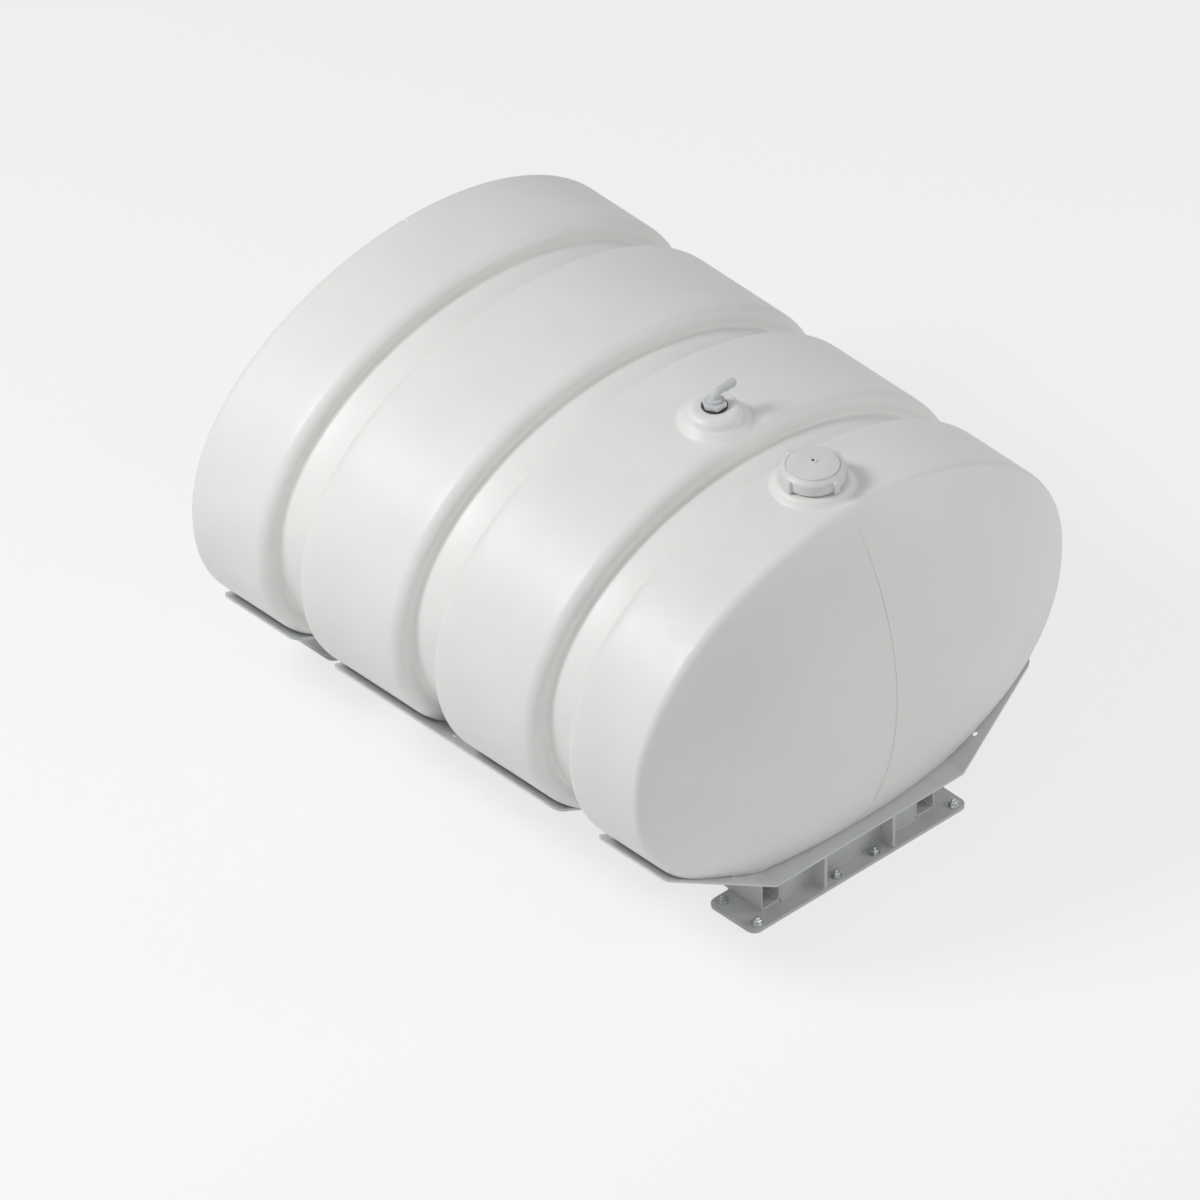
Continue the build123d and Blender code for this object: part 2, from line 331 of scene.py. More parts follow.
@cache
def mottle_group() -> NodeTree:
    """Cloudy drift between two colours.

    Returns:
        The shared group.
    """
    group = Group(
        "mottle",
        {"Base": COLOUR, "Drift": COLOUR, "Scale": NUMBER, "Amount": NUMBER},
        {"Color": COLOUR},
    )
    given = group.given
    place = group.add("ShaderNodeTexCoord").outputs["Object"]
    cloud = group.add("ShaderNodeTexNoise", {
        "Vector": place, "Scale": given["Scale"], "Detail": 5.0, "Roughness": 0.62,
    })
    spread = group.add("ShaderNodeMapRange", {
        "Value": cloud.outputs["Fac"], "From Min": 0.35, "From Max": 0.68,
    })
    amount = group.math("MULTIPLY", spread.outputs["Result"], given["Amount"])
    blend = group.add(
        "ShaderNodeMix", {"Factor": amount, "A": given["Base"], "B": given["Drift"]}, data_type="RGBA"
    )
    group.feed(group.end, {"Color": blend.outputs["Result"]})
    return group.tree


@cache
def grain_group() -> NodeTree:
    """Two sizes of surface grain, as a height and a roughness.

    Returns:
        The shared group.
    """
    group = Group(
        "grain",
        {"Fine Scale": NUMBER, "Coarse Scale": NUMBER, "Roughness": NUMBER, "Spread": NUMBER},
        {"Height": NUMBER, "Roughness": NUMBER},
    )
    given = group.given
    place = group.add("ShaderNodeTexCoord").outputs["Object"]
    fine, coarse = (
        group.add("ShaderNodeTexNoise", {"Vector": place, "Scale": given[scale], "Detail": detail})
        for scale, detail in (("Fine Scale", 2.0), ("Coarse Scale", 3.0))
    )
    centred = group.math("SUBTRACT", coarse.outputs["Fac"], 0.5)
    group.feed(group.end, {
        "Height": group.math("ADD", fine.outputs["Fac"], coarse.outputs["Fac"]),
        "Roughness": group.math("MULTIPLY_ADD", centred, given["Spread"], given["Roughness"]),
    })
    return group.tree


@cache
def dust_group() -> NodeTree:
    """Patchy dust that thins out with the height above the floor.

    Returns:
        The shared group.
    """
    group = Group(
        "dust",
        {"Color": COLOUR, "Dust": COLOUR, "Height": NUMBER, "Amount": NUMBER},
        {"Color": COLOUR},
    )
    given = group.given
    place = group.add("ShaderNodeTexCoord").outputs["Object"]
    level = group.add("ShaderNodeSeparateXYZ", {0: place}).outputs["Z"]
    low = group.add("ShaderNodeMapRange", {
        "Value": level, "From Max": given["Height"], "To Min": 1.0, "To Max": 0.0,
    }, interpolation_type="SMOOTHSTEP")
    speck = group.add("ShaderNodeTexNoise", {"Vector": place, "Scale": 38.0, "Detail": 6.0})
    patch = group.math("MULTIPLY", low.outputs["Result"], speck.outputs["Fac"])
    amount = group.math("MULTIPLY", patch, given["Amount"])
    blend = group.add(
        "ShaderNodeMix", {"Factor": amount, "A": given["Color"], "B": given["Dust"]}, data_type="RGBA"
    )
    group.feed(group.end, {"Color": blend.outputs["Result"]})
    return group.tree


@dataclass(frozen=True)
class Finish:
    """A surface finish made of drifting colour, grain and a little dust."""

    name: str
    base: Colour
    drift: Colour
    drift_scale: float
    roughness: float
    fine_scale: float
    coarse_scale: float
    drift_amount: float = 0.6
    roughness_spread: float = 0.2
    bump_height: float = 0.0003
    bump_strength: float = 0.3
    metallic: float = 0.0
    subsurface: float = 0.0
    subsurface_radius: Point3 = (0.006, 0.006, 0.005)
    specular: float = 0.5
    coat: float = 0.0
    dust_colour: Colour = (0.42, 0.40, 0.36)
    dust_height: float = 0.5
    dust_amount: float = 0.0

    def material(self) -> Material:
        """Build the material, or return the one that was built before.

        Returns:
            The finish as a material.
        """
        found = bpy.data.materials.get(self.name)
        if found:
            return found
        material = bpy.data.materials.new(self.name)
        material.use_nodes = True
        graph = Graph(material.node_tree)
        grain = graph.add("ShaderNodeGroup", {
            "Fine Scale": self.fine_scale, "Coarse Scale": self.coarse_scale,
            "Roughness": self.roughness, "Spread": self.roughness_spread,
        }, node_tree=grain_group())
        bump = graph.add("ShaderNodeBump", {
            "Height": grain.outputs["Height"],
            "Distance": self.bump_height, "Strength": self.bump_strength,
        })
        graph.feed(graph.tree.nodes["Principled BSDF"], {
            "Base Color": self.colour(graph),
            "Roughness": grain.outputs["Roughness"],
            "Normal": bump.outputs["Normal"],
            "Metallic": self.metallic,
            "Specular IOR Level": self.specular,
            "Coat Weight": self.coat,
            "Subsurface Weight": self.subsurface,
            "Subsurface Radius": self.subsurface_radius,
        })
        return material

    def colour(self, graph: Graph) -> NodeSocket:
        """Mottled colour under its dust.

        Args:
            graph: The material's nodes.

        Returns:
            The colour socket.
        """
        mottle = graph.add("ShaderNodeGroup", {
            "Base": (*self.base, 1.0), "Drift": (*self.drift, 1.0),
            "Scale": self.drift_scale, "Amount": self.drift_amount,
        }, node_tree=mottle_group())
        if not self.dust_amount:
            return mottle.outputs["Color"]
        dust = graph.add("ShaderNodeGroup", {
            "Color": mottle.outputs["Color"], "Dust": (*self.dust_colour, 1.0),
            "Height": self.dust_height, "Amount": self.dust_amount,
        }, node_tree=dust_group())
        return dust.outputs["Color"]


POLYETHYLENE = Finish(
    "moulded_polyethylene", base=(0.86, 0.865, 0.845), drift=(0.79, 0.80, 0.78), drift_scale=3.2,
    roughness=0.42, roughness_spread=0.16, fine_scale=420.0, coarse_scale=46.0,
    bump_height=0.0006, bump_strength=0.22, subsurface=0.12, dust_amount=0.16, dust_height=0.42,
)
CAP_PLASTIC = Finish(
    "cap_plastic", base=(0.77, 0.775, 0.765), drift=(0.69, 0.70, 0.69), drift_scale=22.0,
    drift_amount=0.5, roughness=0.38, fine_scale=900.0, coarse_scale=120.0, bump_strength=0.25,
)
# Black of the gasket and the vent washer, and also the painted shade of the disc in the breather's
# hole.
BLACK_RUBBER_AND_SHADE = Finish(
    "seal_rubber", base=(0.05, 0.05, 0.052), drift=(0.085, 0.085, 0.085), drift_scale=40.0,
    roughness=0.7, fine_scale=1200.0, coarse_scale=160.0, bump_strength=0.4,
)
VENT_PLASTIC = Finish(
    "vent_plastic", base=(0.50, 0.52, 0.53), drift=(0.42, 0.44, 0.45), drift_scale=35.0,
    roughness=0.36, fine_scale=1100.0, coarse_scale=150.0,
)
POWDER_COAT = Finish(
    "powder_coated_steel", base=(0.70, 0.715, 0.725), drift=(0.62, 0.635, 0.645), drift_scale=9.0,
    drift_amount=0.55, roughness=0.44, fine_scale=1500.0, coarse_scale=260.0,
    bump_height=0.0002, bump_strength=0.35, coat=0.1, dust_amount=0.2, dust_height=0.3,
)
FRAME_COAT = Finish(
    "coated_frame_steel", base=(0.66, 0.675, 0.685), drift=(0.57, 0.585, 0.595), drift_scale=11.0,
    roughness=0.46, roughness_spread=0.22, fine_scale=1400.0, coarse_scale=240.0,
    bump_height=0.0002, bump_strength=0.4, coat=0.1, dust_amount=0.3, dust_height=0.22,
)
ZINC = Finish(
    "zinc_plated_steel", base=(0.62, 0.63, 0.64), drift=(0.45, 0.46, 0.47), drift_scale=120.0,
    drift_amount=0.7, roughness=0.34, roughness_spread=0.25, fine_scale=2400.0,
    coarse_scale=420.0, bump_height=0.0001, metallic=1.0,
)
WELD = Finish(
    "coated_weld", base=(0.60, 0.615, 0.62), drift=(0.48, 0.49, 0.50), drift_scale=160.0,
    roughness=0.5, roughness_spread=0.3, fine_scale=900.0, coarse_scale=300.0,
    bump_height=0.0004, bump_strength=0.5, coat=0.1, dust_amount=0.3, dust_height=0.22,
)


class Workshop(Group):
    """A geometry node tree that ends in realized and painted geometry."""

    tree_type: str = "GeometryNodeTree"

    def __init__(self, name: str, inputs: dict[str, str]) -> None:
        """Start a tree.

        Args:
            name: Name of the tree.
            inputs: Names and types of its inputs besides the geometry and the finish.
        """
        full = {"Geometry": GEOMETRY, **inputs, "Finish": "NodeSocketMaterial"}
        super().__init__(name, full, {"Geometry": GEOMETRY})

    def close(self, geometry: NodeSocket) -> None:
        """Realize the instances, set the material and end the tree.

        Args:
            geometry: The last geometry socket.
        """
        realize = self.add("GeometryNodeRealizeInstances", {0: geometry})
        painted = self.add("GeometryNodeSetMaterial", {
            "Geometry": realize.outputs[0], "Material": self.given["Finish"],
        })
        self.feed(self.end, {0: painted.outputs[0]})

    def run(self, name: str, carrier: Object, values: dict[str, object]) -> Mesh:
        """Run the tree on an object and keep the result as a plain mesh.

        Args:
            name: Name of the new mesh.
            carrier: Object that holds the points or curves; it is removed.
            values: Values for the named inputs.

        Returns:
            The realized mesh.
        """
        modifier = carrier.modifiers.new(name, "NODES")
        modifier.node_group = self.tree
        for key, value in values.items():
            modifier[self.identifiers[key]] = value
        graph = bpy.context.evaluated_depsgraph_get()
        mesh = bpy.data.meshes.new_from_object(carrier.evaluated_get(graph))
        mesh.name = name
        bpy.data.objects.remove(carrier)
        return mesh


def copies_tree() -> Workshop:
    """A tree that stands copies of a template on points, turned by the points' attribute.

    Returns:
        The tree, with inputs Template and Finish.
    """
    shop = Workshop("copies_on_points", {"Template": "NodeSocketObject"})
    info = shop.add("GeometryNodeObjectInfo", {"Object": shop.given["Template"]})
    turn = shop.add("GeometryNodeInputNamedAttribute", {"Name": "turn"}, data_type="FLOAT")
    angles = shop.add("ShaderNodeCombineXYZ", {"Z": turn.outputs["Attribute"]})
    copies = shop.add("GeometryNodeInstanceOnPoints", {
        "Points": shop.given["Geometry"],
        "Instance": info.outputs["Geometry"],
        "Rotation": angles.outputs[0],
    })
    shop.close(copies.outputs[0])
    return shop


def bead_tree() -> Workshop:
    """A tree that lays a rippled weld bead along curves.

    Returns:
        The tree, with inputs Radius, Spacing, Ripple and Finish.
    """
    shop = Workshop("weld_bead", {"Radius": NUMBER, "Spacing": NUMBER, "Ripple": NUMBER})
    given = shop.given
    path = shop.add("GeometryNodeResampleCurve", {
        "Curve": given["Geometry"], "Length": given["Spacing"],
    }, mode="LENGTH")
    ring = shop.add("GeometryNodeCurvePrimitiveCircle", {
        "Resolution": 10, "Radius": given["Radius"],
    })
    sweep = shop.add("GeometryNodeCurveToMesh", {
        "Curve": path.outputs[0], "Profile Curve": ring.outputs[0], "Fill Caps": True,
    })
    noise = shop.add("ShaderNodeTexNoise", {"Scale": 260.0})
    centred = shop.math("SUBTRACT", noise.outputs["Fac"], 0.5)
    push = shop.add("ShaderNodeVectorMath", {
        0: shop.add("GeometryNodeInputNormal").outputs[0],
        "Scale": shop.math("MULTIPLY", centred, given["Ripple"]),
    }, operation="SCALE")
    move = shop.add("GeometryNodeSetPosition", {
        "Geometry": sweep.outputs[0], "Offset": push.outputs[0],
    })
    shop.close(move.outputs[0])
    return shop


def stand_copies(
    name: str, template: Mesh, places: Iterable[Place], finish: Finish, tree: Workshop
) -> Object:
    """Stand copies of a template mesh on places as one piece.

    Args:
        name: Name of the piece.
        template: Mesh at the origin, standing on Z = 0.
        places: Points of the copies and their turns about Z, in radians.
        finish: Finish of the piece.
        tree: The copying tree.

    Returns:
        The joined piece.
    """
    points, angles = zip(*places)
    mesh = bpy.data.meshes.new(name + "_places")
    mesh.from_pydata([tuple(point) for point in points], [], [])
    mesh.attributes.new("turn", "FLOAT", "POINT").data.foreach_set("value", angles)
    template.polygons.foreach_set("use_smooth", [True] * len(template.polygons))
    pattern = linked(name + "_template", template)
    values = {"Template": pattern, "Finish": finish.material()}
    joined = tree.run(name, linked(mesh.name, mesh), values)
    bpy.data.objects.remove(pattern)
    return new_piece(joined, finish)


# Sub-assemblies


@dataclass
class Tank:
    """The moulded tank: barrel with strap grooves, dished ends and raised bosses."""

    half_height: float = 0.425
    lower_fullness: float = 2.25
    wing_angle: float = 25.0
    wing_gap: float = 0.0005
    groove_half_floor: float = 0.045
    groove_depth: float = 0.044
    shoulder_radius: float = 0.030
    foot_radius: float = 0.010
    end_skirt: float = 0.014
    knuckle_radius: float = 0.024
    filler_plateau: float = 0.074
    filler_foot: float = 0.092
    vent_top_radius: float = 0.040
    vent_shoulder_radius: float = 0.060
    vent_shoulder_height: float = 0.014
    vent_blend_start: float = 0.97
    vent_foot: float = 0.082
    refine_margin: float = 1.12
    seat_margin: float = 1.2
    segments: int = 240
    crown_step: float = 0.022
    seam_width: float = 0.006
    seam_height: float = 0.0018
    nodes: tuple[str, ...] = (
        "barrel_front", "barrel_front_middle", "barrel_rear_middle", "barrel_rear",
        "front_end", "rear_end",
    )

    def __post_init__(self) -> None:
        """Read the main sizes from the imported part."""
        low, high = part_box("barrel_rear")
        self.half_width = high.x
        self.half_length = high.y
        self.belly = low.z
        self.crown = high.z
        self.groove_spacing = low.y
        self.centre = self.crown - self.half_height
        self.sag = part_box("rear_end")[1].y - self.half_length
        self.wing_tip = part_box("front_saddle")[1]
        neck_low, neck_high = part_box("filler_neck")
        self.filler_y = (neck_low.y + neck_high.y) / 2
        self.filler_top = neck_low.z
        washer_low, washer_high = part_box("vent_washer")
        self.vent_y = (washer_low.y + washer_high.y) / 2
        self.vent_top = washer_low.z

    def end_outline(self) -> list[Point2]:
        """Radii and depths of the dished end, from the middle to the barrel's edge.

        Returns:
            Points with the upright radius and the distance beyond the barrel.
        """
        radius, knuckle = self.half_height, self.knuckle_radius
        height = self.sag - self.end_skirt
        dish = (radius**2 + height**2) / (2 * height)
        drop = self.sag - dish
        rise = math.sqrt((dish - knuckle) ** 2 - (radius - knuckle) ** 2)
        tangent = math.atan2(rise, radius - knuckle)
        dome = arc_points((0, drop), dish, math.pi / 2, tangent, steps=30)
        corner = arc_points((radius - knuckle, drop + rise), knuckle, tangent, 0, steps=8)
        return [(0.0, self.sag)] + dome[1:] + corner[1:] + [(radius, 0.0)]

    def groove_outline(self) -> list[Point2]:
        """Half a groove, as distances from its middle and depths below the crown.

        Returns:
            Points from the shoulder's start to the middle of the floor.
        """
        wall, depth = self.groove_half_floor, self.groove_depth
        shoulder, foot = self.shoulder_radius, self.foot_radius
        outer = arc_points((wall + shoulder, shoulder), shoulder, -math.pi / 2, -math.pi, steps=10)
        inner = arc_points((wall - foot, depth - foot), foot, 0, math.pi / 2, steps=5)
        return outer + inner + [(0.0, depth)]

    def stations(self) -> list[tuple[float, float, float]]:
        """Stations along the tank, each with its place and the ring's two half axes.

        Returns:
            Places along Y with half width and half height.
        """
        ratio = self.half_width / self.half_height
        end = self.end_outline()
        front = [(-self.half_length - out, r * ratio, r) for r, out in end]
        rear = [(self.half_length + out, r * ratio, r) for r, out in reversed(end)]
        half = self.groove_outline()
        barrel: list[Point2] = []
        for middle in (-self.groove_spacing, 0.0, self.groove_spacing):
            barrel += [(middle - across, depth) for across, depth in half]
            barrel += [(middle + across, depth) for across, depth in reversed(half[:-1])]
        edges = [(-self.half_length, 0.0)] + barrel + [(self.half_length, 0.0)]
        filled: list[Point2] = []
        for (y, depth), (after, next_depth) in zip(edges, edges[1:]):
            steps = 1 + int((after - y) / self.crown_step) if depth == next_depth == 0 else 1
            filled += [(y + (after - y) * step / steps, depth) for step in range(steps)]
        body = [(y, self.half_width - d, self.half_height - d) for y, d in filled]
        return front[:-1] + body + rear

    def seat_level(self, x: float) -> float:
        """Height of the saddle's tray or wing under a place across the tank."""
        rise = (abs(x) - self.wing_tip.x) * math.tan(math.radians(self.wing_angle))
        return max(self.belly, self.wing_tip.z + rise + self.wing_gap)

    def ring(self, y: float, half_x: float, half_z: float) -> list[Vector]:
        """One ring: an ellipse above, fuller below, and pressed flat on the saddle.

        Args:
            y: Place along the tank.
            half_x: Half width of the ring.
            half_z: Half height of the ring.

        Returns:
            The ring's points, or one point for a pole.
        """
        if half_z <= 0:
            return [Vector((0, y, self.centre))]
        points = []
        for index in range(self.segments):
            angle = FULL_TURN * (index + 0.5) / self.segments
            power = 1.0 if angle < math.pi else 2 / self.lower_fullness
            x = half_x * math.copysign(abs(math.cos(angle)) ** power, math.cos(angle))
            z = half_z * math.copysign(abs(math.sin(angle)) ** power, math.sin(angle))
            points.append(Vector((x, y, max(self.seat_level(x), self.centre + z))))
        return points

    def raise_boss(
        self, shape: BMesh, y: float, foot: float, level: Callable[[float], Point2]
    ) -> None:
        """Refine the crown round a boss and lift it to the boss's outline.

        Args:
            shape: The tank's bmesh.
            y: Place of the boss along the crown.
            foot: Radius at which the boss has run out.
            level: Gives the boss's height and its weight at a radius.
        """

        def reach(point: Vector) -> float:
            """Distance from the boss's axis; points of the lower half are out of reach."""
            return math.hypot(point.x, point.y - y) if point.z > self.centre else math.inf

        edge = foot * self.refine_margin
        for _ in range(2):
            near = [face for face in shape.faces if reach(face.calc_center_median()) < edge]
            edges = list({side for face in near for side in face.edges})
            bmesh.ops.subdivide_edges(shape, edges=edges, cuts=2, use_grid_fill=True)
        for vert in shape.verts:
            radius = reach(vert.co)
            if radius < foot * self.seat_margin:
                self.seat_on_crown(vert)
            if radius < foot:
                height, weight = level(radius)
                vert.co.z += (height - vert.co.z) * weight

    def seat_on_crown(self, vert: BMVert) -> None:
        """Move a refined point of the plain crown onto the true ellipse.

        Args:
            vert: The point, which stays where it is in a groove or on an end.
        """
        nearest = min(abs(abs(vert.co.y) - groove) for groove in (0.0, self.groove_spacing))
        plain = nearest > self.groove_half_floor + self.shoulder_radius
        if plain and abs(vert.co.y) < self.half_length:
            share = math.sqrt(1 - (vert.co.x / self.half_width) ** 2)
            vert.co.z = self.centre + self.half_height * share

    def filler_level(self, radius: float) -> Point2:
        """Height and weight of the filler boss at a radius."""
        return self.filler_top, 1 - smooth_step(self.filler_plateau, self.filler_foot, radius)

    def vent_level(self, radius: float) -> Point2:
        """Height and weight of the domed vent boss at a radius.

        Args:
            radius: Distance from the vent's axis.

        Returns:
            The height and the weight.
        """
        span = self.vent_shoulder_radius - self.vent_top_radius
        share = min(1.0, max(0.0, (radius - self.vent_top_radius) / span))
        rise = self.vent_top - self.crown - self.vent_shoulder_height
        height = self.vent_shoulder_height + rise * math.sqrt(1 - share * share)
        start = self.vent_shoulder_radius * self.vent_blend_start
        return self.crown + height, 1 - smooth_step(start, self.vent_foot, radius)

    def build(self) -> list[Object]:
        """Make the tank's skin and the mould line on its ends.

        Returns:
            The skin and the mould line.
        """
        shape = bmesh.new()
        skin_rings(shape, [self.ring(*station) for station in self.stations()])
        self.raise_boss(shape, self.filler_y, self.filler_foot, self.filler_level)
        self.raise_boss(shape, self.vent_y, self.vent_foot, self.vent_level)
        skin = new_piece(mesh_from("tank_skin", shape, sharp=60), POLYETHYLENE)
        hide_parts(*self.nodes)
        seam = new_piece(self.mould_line(), POLYETHYLENE)
        for piece in (skin, seam):
            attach(piece, BODY)
        return [skin, seam]

    def mould_line(self) -> Mesh:
        """A low ridge down the middle of both ends, where the mould parts.

        Returns:
            The ridge's mesh.
        """
        shape = bmesh.new()
        outline = self.end_outline()
        lower = [(-r, out) for r, out in outline[1:] if self.centre - r > self.belly]
        path = outline[::-1] + lower
        half, lift = self.seam_width / 2, self.seam_height
        section = ((-half, -half), (-half / 2, lift), (half / 2, lift), (half, -half))
        for facing in (-1, 1):
            rings = []
            for index, (r, out) in enumerate(path):
                before, after = path[max(index - 1, 0)], path[min(index + 1, len(path) - 1)]
                run = (Vector(after) - Vector(before)).normalized()
                rings.append([
                    Vector((
                        x,
                        facing * (self.half_length + out - run.x * height),
                        self.centre + r + run.y * height,
                    ))
                    for x, height in section
                ])
            skin_rings(shape, rings)
        bmesh.ops.holes_fill(shape, edges=shape.edges)
        return mesh_from("mould_line", shape)


@dataclass
class FillerCap:
    """Threaded lid with a bevelled ring, a low dome, grip lugs and a breather plug."""

    disc_radius: float = 0.055
    ring_step: float = 0.002
    bevel_height: float = 0.007
    skirt_wall: float = 0.008
    seat_gap: float = 0.0005
    corner: float = 0.0025
    lug_width: float = 0.014
    lug_reach: float = 0.006
    lug_count: int = 4
    ring_groove_width: float = 0.0028
    ring_groove_depth: float = 0.0018
    foot_recess: float = 0.004
    foot_band: float = 0.005
    breather_bore: float = 0.0035
    breather_corner: float = 0.0008
    # Thickness of the dark disc that paints the shade in the breather's hole.
    shade_disc_thickness: float = 0.0006
    segments: int = 144
    breather_segments: int = 48

    def __post_init__(self) -> None:
        """Read the cap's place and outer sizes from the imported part."""
        self.low, self.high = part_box("filler_cap")
        self.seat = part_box("filler_gasket")[1].z
        self.axis = Vector(((self.low.x + self.high.x) / 2, (self.low.y + self.high.y) / 2, 0))
        self.skirt = (self.high.x - self.low.x) / 2 - self.lug_reach
        self.plug_low, self.plug_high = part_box("cap_breather")

    def outline(self) -> list[Point2]:
        """The cap's outline from the middle of the dome to the inside of the skirt.

        Returns:
            Radii and heights.
        """
        ring_level = self.seat + self.bevel_height
        rise = self.high.z - ring_level - self.ring_step
        sphere = (self.disc_radius**2 + rise**2) / (2 * rise)
        edge = math.acos(self.disc_radius / sphere)
        dome = arc_points((0, self.high.z - sphere), sphere, math.pi / 2, edge, steps=14)
        groove_floor = ring_level - self.ring_groove_depth
        groove_out = self.disc_radius + self.ring_groove_width
        recess, band_top = self.skirt - self.foot_recess, self.low.z + self.foot_band
        inner, ceiling = self.skirt - self.skirt_wall, self.seat - self.seat_gap
        rest = [
            dome[-1], (self.disc_radius, groove_floor), (groove_out, groove_floor),
            (groove_out, ring_level), (self.skirt, self.seat), (self.skirt, band_top),
            (recess, band_top), (recess, self.low.z), (inner, self.low.z),
            (inner, ceiling), (0.0, ceiling),
        ]
        return [(0.0, self.high.z)] + dome[1:-1] + rounded(rest, self.corner)

    def lug(self) -> Mesh:
        """One grip lug, standing on Z = 0 at the origin and facing +X.

        Returns:
            The lug's mesh.
        """
        shape = bmesh.new()
        height = self.seat - self.low.z
        size = Matrix.Diagonal((2 * self.lug_reach, self.lug_width, height, 1.0))
        place = Matrix.Translation((0, 0, height / 2))
        bmesh.ops.create_cube(shape, size=1.0, matrix=place @ size)
        bmesh.ops.bevel(
            shape, geom=list(shape.edges), offset=self.corner, segments=3, profile=0.5, affect="EDGES"
        )
        return mesh_from("cap_lug", shape)

    def plug(self) -> Mesh:
        """The breather plug with its vent hole.

        Returns:
            The plug's mesh.
        """
        bore, radius = self.breather_bore, (self.plug_high.x - self.plug_low.x) / 2
        low, high = self.plug_low.z, self.plug_high.z
        outline = [(bore, low), (radius, low), (radius, high), (bore, high), (bore, low)]
        soft = rounded(outline, self.breather_corner)
        return lathe("breather_plug", self.axis, (soft, self.breather_segments))

    def painted_shade_disc(self) -> Mesh:
        """A dark disc at the bottom of the breather's hole, which paints the shade inside the hole.

        Returns:
            The disc's mesh.
        """
        bore, low = self.breather_bore, (self.plug_low.z + self.plug_high.z) / 2
        high = low + self.shade_disc_thickness
        outline = [(0.0, low), (bore, low), (bore, high), (0.0, high)]
        return lathe("breather_foam", self.axis, (outline, self.breather_segments))

    def dress(self, nodes: Nodes) -> None:
        """Paint the neck and the gasket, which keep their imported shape."""
        paint(nodes["filler_neck"].data, CAP_PLASTIC)
        paint(nodes["filler_gasket"].data, BLACK_RUBBER_AND_SHADE)

    def build(self, nodes: Nodes, copies: Workshop) -> list[Object]:
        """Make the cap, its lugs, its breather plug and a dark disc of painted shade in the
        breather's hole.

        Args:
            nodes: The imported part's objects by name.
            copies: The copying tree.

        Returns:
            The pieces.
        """
        self.dress(nodes)
        cap = new_piece(lathe("cap_body", self.axis, (self.outline(), self.segments)), CAP_PLASTIC)
        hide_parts("filler_cap")
        places = []
        for turn in turns(self.lug_count):
            spot = Vector((self.skirt * math.cos(turn), self.skirt * math.sin(turn), self.low.z))
            places.append((self.axis + spot, turn))
        lugs = stand_copies("cap_lugs", self.lug(), places, CAP_PLASTIC, copies)
        plug = new_piece(self.plug(), CAP_PLASTIC)
        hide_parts("cap_breather")
        # A black disc in the breather's hole paints the shade inside it.
        painted_shade_disc = new_piece(self.painted_shade_disc(), BLACK_RUBBER_AND_SHADE)
        for piece in (cap, lugs, plug, painted_shade_disc):
            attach(piece, BODY)
        return [cap, lugs, plug, painted_shade_disc]


